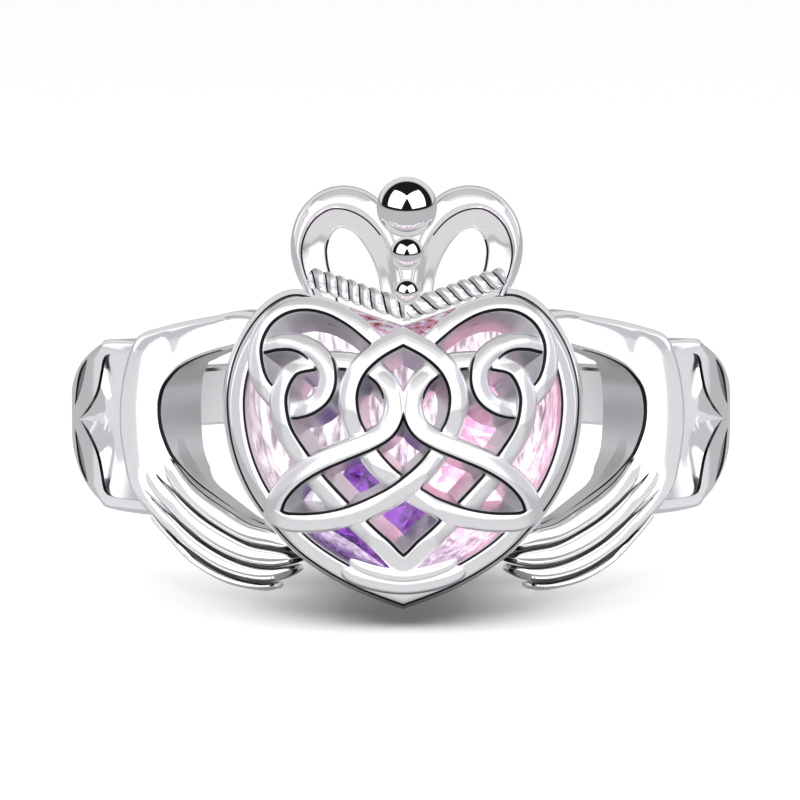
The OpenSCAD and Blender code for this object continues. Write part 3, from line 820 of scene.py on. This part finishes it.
def crown():
    left = crown_loop()
    parts = [left, mirror_copy(left, "loop_right"), stem(), rope()]
    piece = joined("crown_casting", parts)
    piece.data.transform(Matrix.Translation((CROWN_ASIDE, 0, 0)))
    beads = joined("crown_beads", [bead(f"bead_{number}", *row) for number, row in enumerate(BEADS)])
    made = (finished(piece, "crown", [POLISHED, DARK, RECESS, SATIN]),
            finished(beads, "crown", [MIRROR]))
    for part in made:
        part.visible_glossy = False
    return made


# The hands.

def across(row, u):
    """Angle and height of a place on a row of HAND, u from 0 at its outer edge to 1."""
    return CUFF_REACH * mix(row[0], row[2], u), HAND_H * mix(row[1], row[3], u) - FINGER_DROP


# Columns: place from the outer to the inner edge, how far the surface is below the hand's crown.
HAND_ROUNDING = [
    [0, 0.60], [0.012, 0.42], [0.04, 0.28], [0.085, 0.17], [0.15, 0.08], [0.25, 0.02], [0.40, 0],
    [0.62, 0], [0.78, 0.01], [0.88, 0.035], [0.94, 0.06], [0.965, 0.085], [1, 0.17],
]
# How far a hand's underside lies inside the finger hole, before the hole is cut.
UNDERSIDE = 0.6


def hand_ring(row, sunk, hollow):
    """A section of the hand, sunk by so much and hollow by a share between it and the finger."""
    ring = []
    for u, below in HAND_ROUNDING:
        angle, z = across(row, u)
        ring.append(on_ring(angle, z, hand_r(angle) - below - sunk))
    for u in (1, 0):
        angle, z = across(row, u)
        r = mix(BORE_R - UNDERSIDE, hand_r(angle) - FINGER_T, hollow)
        lean = u * (1 - hollow) * max(0, BAND_END - angle)
        ring.append(on_ring(angle + lean, z, r))
    return ring


# Row of HAND at which the palm ends, under the fingers.
PALM_END = 13.3
# Shares of the palm's length between which the thumb goes over into it, it sinks under the
# fingers, and its end drops, and how deep the last two are.
THUMB = (0.23, 0.35)
BED = (0.66, 0.84)
BED_DEPTH = 0.45
PALM_DROP = (0.95, 0.97)
PALM_DROP_DEPTH = 0.25
# Sides of the palm's section at its inner edge and inside it, and the row of HAND from which the
# edge is painted dark as shade. The inside is painted grey as shade.
INNER_EDGE = 11
INSIDE = (12, 13)
DARK_FROM = 1.2


def palm():
    steps = 6
    rows = smooth(HAND, steps)
    last = round(PALM_END * steps)
    stations = []
    for i in range(last + 1):
        s = i / last
        bed = ramp(s, *BED)
        thumb = 1 - ramp(s, *THUMB)
        drop = PALM_DROP_DEPTH * ramp(s, *PALM_DROP)
        stations.append(hand_ring(rows[i], BED_DEPTH * bed + drop, max(bed, thumb)))

    def finish(row, side):
        if side == INNER_EDGE and row > DARK_FROM * steps:
            return DARK_AT
        return RECESS_AT if side in INSIDE else POLISHED_AT

    return swept("palm", stations, finish)


# A finger's section from its upper to its lower side. Columns: across as a share of its width,
# depth in millimetres, and whether the point is on a wall beside the finger's top.
FINGER_FOOT = 0.95
FINGER_SECTION = [
    [-0.50, FINGER_FOOT, True], [-0.50, 0.24, True], [-0.50, 0.19, False], [-0.47, 0.10, False],
    [-0.41, 0.04, False], [-0.31, 0.005, False], [-0.18, 0.0, False], [-0.04, 0.015, False],
    [0.10, 0.05, False], [0.24, 0.105, False], [0.36, 0.17, False], [0.45, 0.235, False],
    [0.50, 0.30, False], [0.50, 0.40, True], [0.50, FINGER_FOOT, True],
]
# What lies at the sides of its section: painted shade, dark at the top of each wall and grey
# below. The lowest finger's lower wall stays polished.
FINGER_FINISH = {0: RECESS_AT, 1: DARK_AT, 12: DARK_AT, 13: RECESS_AT}
LOWER_WALL = 11
# Half the groove between two fingers, and the least that a finger's walls, top and rim measure.
GROOVE_HALF = 0.018
LEAST_WALL = 0.03
LEAST_TOP = 0.015
LEAST_RIM = 0.02
# Half widths before its tip at which a finger's rim begins to widen, and how much of the rim's
# width the top ends before the tip.
RIM_FROM = 1.6
RIM_AHEAD = 0.8
# How far a fingertip sinks, and the length in which a finger's start comes up to the surface.
TIP_SINK = 0.10
SURFACING = 2.2
# How a finger's depth and width grow at its start. Columns: share that it starts with, distance
# from the start at which it begins to grow and at which it is whole, in millimetres.
DEEPENING = (0.1, 0.2, 2.8)
WIDENING = (0.7, 0, 1.4)
# Places of the last sections in the last step of a finger, and the share of it that they use.
TIP_PLACES = (0.0, 0.25, 0.5, 0.7, 0.85, 0.95, 1.0)
TIP_SHARE = 0.999


def round_end(distance, half):
    """Half a finger's width as a share, at a distance from its round tip."""
    return math.sqrt(max(0.0, 1 - (1 - min(1.0, max(0.0, distance) / half)) ** 2))


def growth(gone, first, start, whole):
    """The share of its size that something has, gone millimetres from where it starts."""
    return mix(first, 1, ramp(gone, start, whole))


def finger(number, place):
    outer, inner, first_row, tip_row, rim, start_depth = place
    steps = 8
    rows = smooth(HAND, steps)
    spine = []
    for i in range(round(first_row * steps), round(tip_row * steps) + 1):
        angle, z = across(rows[i], (outer + inner) / 2)
        a, b = across(rows[i], outer), across(rows[i], inner)
        w = math.hypot(math.radians(a[0] - b[0]) * CUFF_R, a[1] - b[1])
        spine.append((on_ring(angle, z, hand_r(angle)), angle, w))
    end = len(spine) - 1
    lengths = [0.0]
    for i in range(end):
        lengths.append(lengths[-1] + (spine[i + 1][0] - spine[i][0]).length)
    half = spine[end][2] / 2
    stations = []
    for at in list(range(end - 1)) + [end - 1 + TIP_SHARE * t for t in TIP_PLACES]:
        i = min(int(at), end - 1)
        t = at - i
        point = spine[i][0].lerp(spine[i + 1][0], t)
        angle = mix(spine[i][1], spine[i + 1][1], t)
        w = mix(spine[i][2], spine[i + 1][2], t)
        gone = mix(lengths[i], lengths[i + 1], t)
        to_tip = lengths[-1] - gone
        along = (spine[min(i + 2, end)][0] - spine[max(i - 1, 0)][0]).normalized()
        out = on_ring(angle, 0, 1)
        side = along.cross(out).normalized()
        rim_here = mix(LEAST_RIM, rim, ramp(to_tip, RIM_FROM * half + rim, 0))
        free = w / 2 - GROOVE_HALF
        wall = max(LEAST_WALL, round_end(to_tip + LEAST_RIM, half)) * free
        top = max(LEAST_TOP, round_end(to_tip - rim * RIM_AHEAD, half) * free - rim_here)
        sunk = start_depth * (1 - ramp(gone, 0, SURFACING)) + TIP_SINK * (1 - round_end(to_tip, half))
        deep = growth(gone, *DEEPENING)
        wide = growth(gone, *WIDENING)
        section = []
        for share, full_depth, on_wall in FINGER_SECTION:
            depth = full_depth if full_depth == FINGER_FOOT else full_depth * deep
            reach = wide * (wall if on_wall else top)
            section.append(point + 2 * share * reach * side - (depth + sunk) * out)
        stations.append(section)

    def finish(row, side):
        lowest = number == 0 and side >= LOWER_WALL
        return POLISHED_AT if lowest else FINGER_FINISH.get(side, POLISHED_AT)

    return swept(f"finger_{number}", stations, finish)


# How far the block that cuts the hands goes past the heart, and how deep below the rim the heart
# is widest.
BLOCK_PAST = 3
WIDEST_BELOW = 0.35


def heart_block(grow):
    """All that the heart and its front take up, for cutting what is set against it."""
    return swept("heart_block", [
        ring_on_plane(HEART_TAPER - grow, HEART_BACK + BLOCK_PAST),
        ring_on_plane(HEART_TAPER - grow, HEART_BACK),
        ring_on_dome(-grow, RIM_R - WIDEST_BELOW),
        ring_on_plane(-grow, -(BORE_R + HEAD_DEPTH) - BLOCK_PAST),
    ])


def hand(name, node, mirrored):
    parts = [palm()] + [finger(i, place) for i, place in enumerate(FINGERS)]
    for part in parts:
        cut(part, round_cutter("bore_cutter", BORE_R + SEAM))
        cut(part, heart_block(SEAM))
    piece = joined(name, parts)
    if mirrored:
        piece.data.transform(Matrix.Scale(-1, 4, (1, 0, 0)))
        recalculate(piece)
    return finished(piece, node, [POLISHED, DARK, RECESS])


# The band with its leaf shoulders. Columns: place, from -1 at the front to 1 at the back, and how
# much of the way from the band's width to the shoulder's it is there.
SHOULDER = [
    [-1.1, 1], [-0.5, 1], [-0.41, 0.9], [-0.28, 0.62], [-0.15, 0.3], [-0.06, 0.1], [0.04, 0.02],
    [0.14, 0], [1.1, 0],
]
# The leaves' inner edge. Columns: place, 1 where the leaves cross and 0 at their middle, and
# height as a share of half the shoulder's width.
LEAF_EDGE = [
    [1, 0], [0.5, 0.19], [0.2, 0.37], [0.05, 0.58], [-0.05, 0.76], [-0.25, 0.83], [-0.7, 0.84],
    [-1.1, 0.84],
]
# Half the band's section from the finger hole to the middle of its outside. Columns: across as a
# share of half its width, how much less that is in millimetres, radius.
BAND_SECTION = [
    [1, 0.10, BORE_R], [1, 0, BORE_R + 0.10], [1, 0, BAND_R - 0.24], [1, 0.03, BAND_R - 0.13],
    [1, 0.10, BAND_R - 0.05], [1, 0.22, BAND_R - 0.01], [1, 0.40, BAND_R], [0.45, 0, BAND_R],
    [0.2, 0, BAND_R],
]
# Degrees from one section to the next, on the shoulders and from the angle where they end.
FINE_TURN = 1.5
PLAIN_TURN = 3.0
SHOULDER_END = 96


def table_value(rows, key):
    """The second column where the first is key, the first column running up or down."""
    ordered = rows if rows[0][0] < rows[-1][0] else rows[::-1]
    if key <= ordered[0][0]:
        return ordered[0][1]
    for a, b in zip(ordered, ordered[1:]):
        if a[0] <= key <= b[0]:
            return mix(a[1], b[1], (key - a[0]) / (b[0] - a[0]))
    return ordered[-1][1]


shoulder_rows = smooth(SHOULDER, 6)
leaf_rows = smooth(LEAF_EDGE, 6)


def band_station(angle):
    """The band's section at an angle from the front, on the left."""
    place = -math.cos(math.radians(angle))
    half = BAND_W / 2 + max(0, table_value(shoulder_rows, place)) * (SHOULDER_W - BAND_W) / 2
    profile = [(share * half - less, radius) for share, less, radius in BAND_SECTION]
    upper = [on_ring(angle, z, r) for z, r in profile]
    lower = [on_ring(angle, -z, r) for z, r in reversed(profile)]
    return upper + lower


# Depth of the field's wall, painted dark as shade, half widths at which the wall and the field are
# fully deep, and how much of the depth is reached halfway to the crease.
FIELD_LINE = 0.10
LINE_WHOLE_W = 0.3
FIELD_WHOLE_W = 0.8
HALFWAY_DEPTH = 0.62
# Sections of the field, degrees that it goes past the crossing and past both ends together, and
# the walls among the sides of its section, which are painted dark as shade.
FIELD_STEPS = 72
FIELD_PAST = 0.4
FIELD_PAST_BOTH = 2
FIELD_WALLS = (0, 5)


def field_cutter():
    """The creased field between the two leaves, deepest along its middle, with a wall painted dark
    as shade.
    """
    reach = BAND_R * math.sin(math.radians(LEAF_CROSS - LEAF_MIDDLE))
    stations = []
    for i in range(FIELD_STEPS + 1):
        angle = LEAF_CROSS + FIELD_PAST - i / FIELD_STEPS * (LEAF_CROSS - BAND_END + FIELD_PAST_BOTH)
        along = BAND_R * math.sin(math.radians(angle - LEAF_MIDDLE))
        edge = max(POINT_W, table_value(leaf_rows, along / reach) * SHOULDER_W / 2)
        if angle > LEAF_CROSS:
            edge = POINT_W
        line = FIELD_LINE * ramp(edge, 0, LINE_WHOLE_W)
        deep = line + (FIELD_DEPTH - FIELD_LINE) * ramp(edge, 0, FIELD_WHOLE_W)
        half = [(edge, BAND_R + 1), (edge, BAND_R - line),
                (edge / 2, BAND_R - mix(line, deep, HALFWAY_DEPTH)), (0, BAND_R - deep)]
        full = half + [(-z, radius) for z, radius in half[-2::-1]]
        stations.append([on_ring(angle, z, radius) for z, radius in full])
    return swept("field_cutter", stations,
                 lambda row, side: DARK_AT if side in FIELD_WALLS else POLISHED_AT)


# The openings through the band on the left. Columns: angle from the front, height, length, width,
# turn, width of the line round it that is painted dark as shade.
OPENINGS = [
    [EYE_MIDDLE, 0.07 * EYE_H, EYE_H, EYE_W, 90, 0.0],
    [LEAF_CROSS + 0.2, -0.217 * SHOULDER_W, SLOT_L, SLOT_W, SLOT_TURN, 0.06],
    [LEAF_CROSS + 0.2, 0.217 * SHOULDER_W, SLOT_L, SLOT_W, -SLOT_TURN, 0.06],
]
LENS_STEPS = 8
# What lies on an opening's wall, from the inside outwards: painted grey shade, a painted dark line
# and polished silver.
LENS_FINISH = (RECESS_AT, DARK_AT, POLISHED_AT)


def lens_cutter(angle, z, length, width, turn, line):
    """A slender cutter with two round sides, wider by its line near the surface, where it is
    painted dark as shade.
    """
    c, s = math.cos(math.radians(turn)), math.sin(math.radians(turn))
    tangent = Vector((-math.cos(math.radians(angle)), math.sin(math.radians(angle)), 0))
    rings = []
    for r, grow in ((BORE_R - 1, 0), (BAND_R - 1.2 * line, 0), (BAND_R + 0.01, line),
                    (BAND_R + 2, line)):
        outline = []
        for k in range(2 * LENS_STEPS + 1):
            t = -1 + k / LENS_STEPS
            outline.append((t * (length / 2 + grow), (width / 2 + grow) * (1 - t * t)))
        outline += [(-x, -y) for x, y in outline[1:-1]]
        rings.append([on_ring(angle, z + x * s + y * c, r) + tangent * (x * c - y * s)
                      for x, y in outline])
    return swept("lens_cutter", rings, lambda row, side: LENS_FINISH[row])


def band():
    angles = []
    angle = float(BAND_END)
    while angle < 180:
        angles.append(angle)
        angle += FINE_TURN if angle < SHOULDER_END else PLAIN_TURN
    stations = [band_station(a) for a in angles] + [band_station(180)]
    right = [[Vector((-p.x, p.y, p.z)) for p in station] for station in reversed(stations[:-1])]
    # The band's inside, towards the finger, is painted grey as shade.
    bore_side = len(stations[0]) - 1
    piece = swept("band_casting", stations + right,
                  lambda row, side: RECESS_AT if side == bore_side else POLISHED_AT)
    for mirrored in (False, True):
        for cutter in [field_cutter()] + [lens_cutter(*row) for row in OPENINGS]:
            if mirrored:
                cutter.data.transform(Matrix.Scale(-1, 4, (1, 0, 0)))
                recalculate(cutter)
            cut(piece, cutter)
    return finished(piece, "band", [POLISHED, DARK, RECESS])


# The stones. Columns of CUT: half the side at the corners, height and half the side at the
# sides' middles, as shares of the stone's side.
CUT = [
    [0.62, 0.200, 0.62], [0.98, 0.030, 0.93], [0.98, -0.030, 0.93], [0.74, -0.20, 0.60],
    [0.46, -0.34, 0.50], [0.03, -0.52, 0.02],
]
# Columns: piece, place as shares of half the heart's width, the cage's depth and the heart's
# height, turn, side, material.
STONES = [
    ["purple_stone", (-0.140, 0.412, 0.311), (-30, 0, -34), PURPLE_SIDE, PURPLE],
    ["pink_stone_a", (0.327, 0.529, 0.390), (-10, 12, -48), PINK_SIDE, PINK],
    ["pink_stone_b", (0.458, 0.265, 0.598), (12, 8, -20), PINK_SIDE, PINK],
]


def stone(node, place, turn, side, material):
    """A square stone with a row of facets between each two rows of CUT and a flat front."""
    stations = []
    for share, height, middle in CUT:
        r, m = share * side / 2, middle * side / 2
        stations.append([Vector((x, y, height * side)) for x, y in (
            (r, r), (0, m), (-r, r), (-m, 0), (-r, -r), (0, -m), (r, -r), (m, 0))])
    piece = swept(f"{node}_cut", stations)
    apply(piece, "TRIANGULATE")
    rx, ry, rz = (math.radians(a) for a in turn)
    spin = Matrix.Rotation(rz, 4, "Z") @ Matrix.Rotation(ry, 4, "Y") @ Matrix.Rotation(rx, 4, "X")
    at = Vector((place[0] * HEART_W / 2, HEART_FLOOR - place[1] * (HEAD_DEPTH - BACK_WALL),
                 place[2] * HEART_H - HEART_DROP))
    piece.data.transform(Matrix.Translation(at) @ Matrix.Rotation(math.pi / 2, 4, "X") @ spin)
    return finished(piece, node, [material], angle=1)


metal = [heart_cage(), knot_lattice()]
crown_piece, bead_piece = crown()
metal += [crown_piece, hand("left_hand_casting", "left_hand", False),
          hand("right_hand_casting", "right_hand", True), band()]
stones = [stone(*row) for row in STONES]


# The floor, the light and the camera.

def floor():
    """A white floor that the metal sees less bright than the camera does."""
    deselect()
    bpy.ops.mesh.primitive_plane_add(size=4)
    plane = named("floor")
    material, nodes, links = new_material("white_floor")
    shader = nodes["Principled BSDF"]
    shader.inputs["Roughness"].default_value = 0.9
    shader.inputs["Specular IOR Level"].default_value = 0.1
    seen = nodes.new("ShaderNodeLightPath")
    shade = nodes.new("ShaderNodeMix")
    shade.data_type = "RGBA"
    shade.inputs["A"].default_value = (0.44, 0.44, 0.45, 1)
    shade.inputs["B"].default_value = (0.95, 0.95, 0.95, 1)
    links.new(seen.outputs["Is Camera Ray"], shade.inputs["Factor"])
    links.new(shade.outputs["Result"], shader.inputs["Base Color"])
    plane.data.materials.append(material)
    return plane


# The camera looks down by this much onto the ring's own front, which leans back as it rests
CAMERA_ABOVE = 4.5
VIEW_TILT = math.radians(CAMERA_ABOVE) + REST_TILT


def direction(azimuth, elevation):
    """From the ring outwards, by angles in radians from the front and from the table."""
    return Vector((math.sin(azimuth) * math.cos(elevation), -math.cos(azimuth) * math.cos(elevation),
                   math.sin(elevation)))


def world():
    """White behind the ring and dark in front and above, as in a studio."""
    made = bpy.data.worlds.new("studio")
    bpy.context.scene.world = made
    made.use_nodes = True
    nodes, links = made.node_tree.nodes, made.node_tree.links
    background = nodes["Background"]
    background.inputs["Color"].default_value = (1, 1, 1, 1)
    place = nodes.new("ShaderNodeTexCoord")
    dot = nodes.new("ShaderNodeVectorMath")
    dot.operation = "DOT_PRODUCT"
    dot.inputs[1].default_value = direction(0, VIEW_TILT)
    links.new(place.outputs["Generated"], dot.inputs[0])
    edge = nodes.new("ShaderNodeMapRange")
    edge.inputs["From Min"].default_value = -0.50
    edge.inputs["From Max"].default_value = -0.36
    edge.inputs["To Min"].default_value = 0.72
    edge.inputs["To Max"].default_value = 0.012
    links.new(dot.outputs["Value"], edge.inputs["Value"])
    seen = nodes.new("ShaderNodeLightPath")
    choice = nodes.new("ShaderNodeMix")
    choice.data_type = "FLOAT"
    links.new(seen.outputs["Is Camera Ray"], choice.inputs["Factor"])
    links.new(edge.outputs["Result"], choice.inputs["A"])
    choice.inputs["B"].default_value = 1.1
    links.new(choice.outputs["Result"], background.inputs["Strength"])


def group(name, pieces):
    """A list of pieces that a light is kept to."""
    made = bpy.data.collections.new(name)
    for piece in pieces:
        made.objects.link(piece)
    return made


def softbox(name, azimuth, elevation, width, height, radiance, tint, lit, blockers):
    """A soft light of even radiance, on the pieces in lit."""
    deselect()
    place = direction(math.radians(azimuth), math.radians(elevation)) * LIGHT_DISTANCE
    bpy.ops.object.light_add(type="AREA", location=place)
    light = named(name)
    light.data.shape = "RECTANGLE"
    light.data.size = width
    light.data.size_y = height
    light.data.color = tint
    light.data.energy = radiance * math.pi * width * height
    light.rotation_euler = place.to_track_quat("Z", "Y").to_euler()
    light.visible_camera = False
    light.light_linking.receiver_collection = lit
    if blockers:
        light.light_linking.blocker_collection = blockers


floor_piece = floor()
world()
on_beads = group("light_on_beads", [bead_piece])
on_floor = group("light_on_floor", [floor_piece])
on_metal = group("light_on_metal", metal + stones)
on_front = group("light_on_front", metal[:3] + stones)
on_hands = group("light_on_hands", metal[3:])
heart_blocks = group("heart_blocks", metal[:2] + stones)
floor_blocks = group("floor_blocks", [floor_piece])
# Metres from the ring to each light.
LIGHT_DISTANCE = 0.5
WHITE = (1, 1, 1)
LAVENDER = (0.95, 0.94, 1.0)
# Columns: name, azimuth, elevation, width, height, radiance, tint, what it lights and what can
# shade it, None being everything. A light that isn't straight ahead stands on both sides.
LIGHTS = [
    ["window", 49, 38, 0.62, 0.56, 1.5, WHITE, on_beads, None],
    ["front_sheet", 0, 12, 0.96, 0.98, 1.14, WHITE, on_metal, floor_blocks],
    ["side_sheet", 72, 12, 0.52, 0.98, 0.70, LAVENDER, on_front, floor_blocks],
    ["hand_sheet", 63, 12, 0.65, 0.98, 1.10, WHITE, on_hands, on_beads],
    ["back_sheet", 115, 2, 0.36, 0.68, 0.58, LAVENDER, on_metal, floor_blocks],
    ["low_sheet", 115, -16, 0.36, 0.30, 0.26, LAVENDER, on_hands, on_beads],
    ["brow_sheet", 0, 67, 0.96, 0.20, 0.80, WHITE, on_front, floor_blocks],
    ["top_sheet", 0, 103, 1.2, 0.45, 0.58, WHITE, on_metal, floor_blocks],
    ["under_sheet", 0, -45, 1.2, 0.84, 0.22, WHITE, on_front, on_beads],
    ["floor_light", 0, 78, 0.85, 0.40, 3.7, WHITE, on_floor, heart_blocks],
]

for name, azimuth, *row in LIGHTS:
    if azimuth == 0:
        softbox(name, azimuth, *row)
        continue
    softbox(f"{name}_left", -azimuth, *row)
    softbox(f"{name}_right", azimuth, *row)

# The camera's distance in metres and its angle from straight ahead.
CAMERA_DISTANCE = 0.300
CAMERA_ASIDE = -0.3
SENSOR = 36
# Side of the picture in pixels, how large and how far from its middle the ring is in it.
PICTURE = 800
PIXELS_PER_METRE = 32400
PIXELS_RIGHT = 1
PIXELS_DOWN = 12
ring_center = Vector((0, REST_BACK * MM, REST_LIFT * MM))
away = direction(math.radians(CAMERA_ASIDE), VIEW_TILT)
bpy.ops.object.camera_add(location=ring_center + away * CAMERA_DISTANCE)
camera = named("camera")
camera.rotation_euler = away.to_track_quat("Z", "Y").to_euler()
camera.data.sensor_width = SENSOR
camera.data.lens = PIXELS_PER_METRE * CAMERA_DISTANCE / PICTURE * SENSOR
camera.data.shift_x = -PIXELS_RIGHT / PICTURE
camera.data.shift_y = PIXELS_DOWN / PICTURE
camera.data.clip_start = 0.01
camera.data.clip_end = 20
bpy.context.scene.camera = camera
bpy.context.scene.view_settings.view_transform = "Standard"
